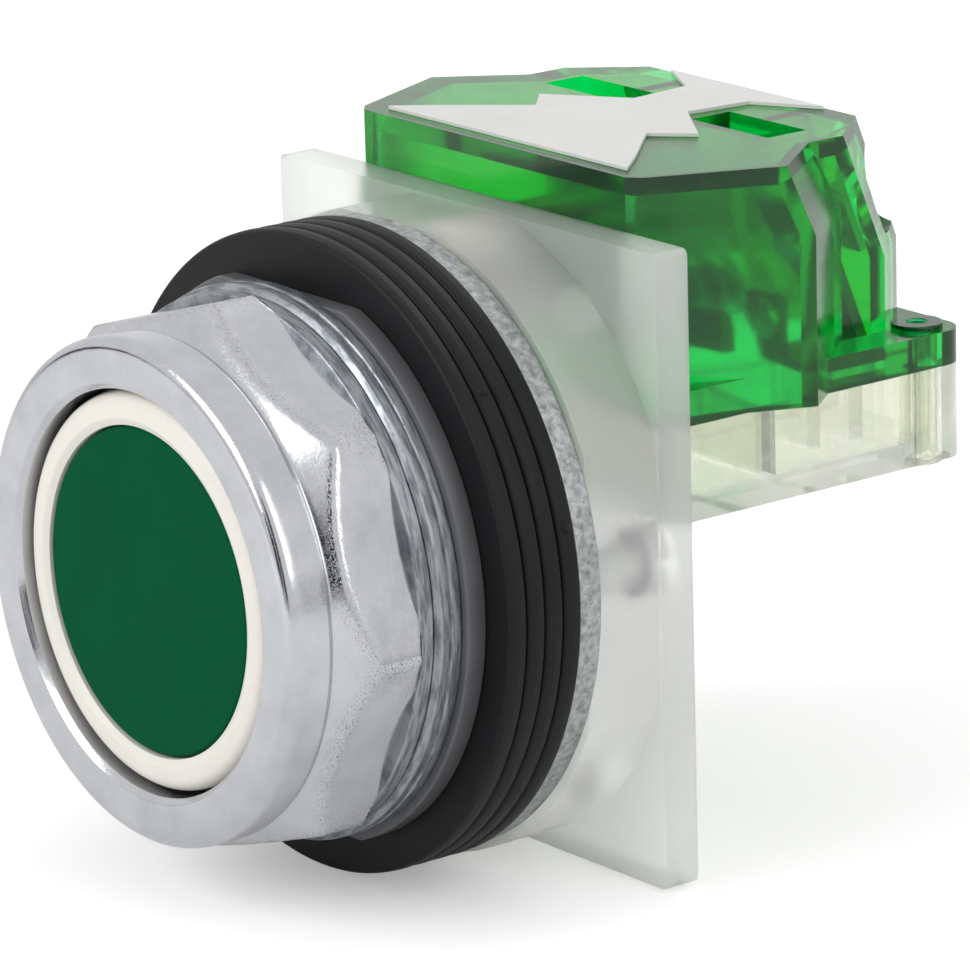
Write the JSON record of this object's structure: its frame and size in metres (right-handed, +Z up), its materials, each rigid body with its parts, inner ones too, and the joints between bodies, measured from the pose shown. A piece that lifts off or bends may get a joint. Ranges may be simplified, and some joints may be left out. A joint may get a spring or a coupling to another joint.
{
  "type": "panel push button",
  "caption": "Flush push button in a chrome guard nut with a washer and gasket stack, a frosted square body and a translucent contact block fixed behind it.",
  "frame": {"origin": "on the button's axis, in the front face of the first gasket, where the panel's rear face is clamped", "axes": "+Y runs along the button's axis from the button to the contact block, +Z points up to the block's label, +X completes the frame"},
  "size_m": [0.044, 0.0573, 0.0478],
  "materials": {
    "insert_green": "semi-gloss moulded plastic, dark green",
    "cap_cream": "satin moulded plastic, warm white",
    "chrome": "bright chrome plate on a die casting",
    "zinc": "dull zinc plate",
    "galvanised": "mottled galvanised finish",
    "steel": "bright zinc-plated screw steel",
    "spring_steel": "drawn spring wire",
    "diecast": "satin die casting",
    "trim_grey": "satin translucent grey plastic",
    "rubber": "matte black rubber",
    "frosted": "frosted translucent plastic",
    "green_clear": "glossy translucent green plastic",
    "clear": "glossy clear plastic",
    "label": "satin blank label",
    "black_plastic": "satin black plastic",
    "red_plastic": "satin red plastic",
    "copper": "bare copper strip",
    "silver": "silver contact metal",
    "brass": "turned brass"
  },
  "bodies": {
    "frame": {"return_spring": "spring_steel", "wiper_seal": "rubber", "bushing": "diecast", "ring_nut": "chrome", "lock_washer": "zinc", "thrust_washer": "zinc", "trim_ring": "trim_grey", "gasket_1": "rubber", "gasket_2": "rubber", "gasket_3": "rubber", "gasket_4": "rubber", "clamp_ring": "galvanised", "body": "frosted", "bushing_screws": "steel", "body_inserts": "brass", "block_housing": "green_clear", "block_cover": "clear", "block_label": "label", "block_screw": "steel", "cover_rivets": "steel", "plunger_spring": "spring_steel", "contact_left": "copper", "contact_right": "copper", "tip_left": "silver", "tip_right": "silver", "clamp_left": "steel", "clamp_right": "steel", "screw_left": "steel", "screw_right": "steel"},
    "button": {"button_insert": "insert_green", "button_cap": "cap_cream", "stem_screw": "steel", "push_stem": "black_plastic"},
    "plunger": {"plunger": "red_plastic"},
    "bridge": {"contact_bridge": "copper", "bridge_tips": "silver", "contact_spring": "spring_steel"}
  },
  "joints": [
    {"name": "push", "type": "slide", "parent": "frame", "child": "button", "axis": [0, 1, 0], "range_m": [0, 0.005], "stiffness_N_per_m": 400, "springref_m": -0.008, "deforming": ["return_spring"]},
    {"name": "plunger_travel", "type": "slide", "parent": "frame", "child": "plunger", "axis": [0, 1, 0], "range_m": [0, 0.005], "stiffness_N_per_m": 60, "springref_m": -0.004, "deforming": ["plunger_spring"]},
    {"name": "bridge_travel", "type": "slide", "parent": "frame", "child": "bridge", "axis": [0, 1, 0], "range_m": [0, 0.003], "deforming": ["contact_spring"]}
  ],
  "couplings": [
    {"joint": "plunger_travel", "follows": "push", "ratio": 1},
    {"joint": "bridge_travel", "follows": "push", "ratio": 0.6}
  ]
}
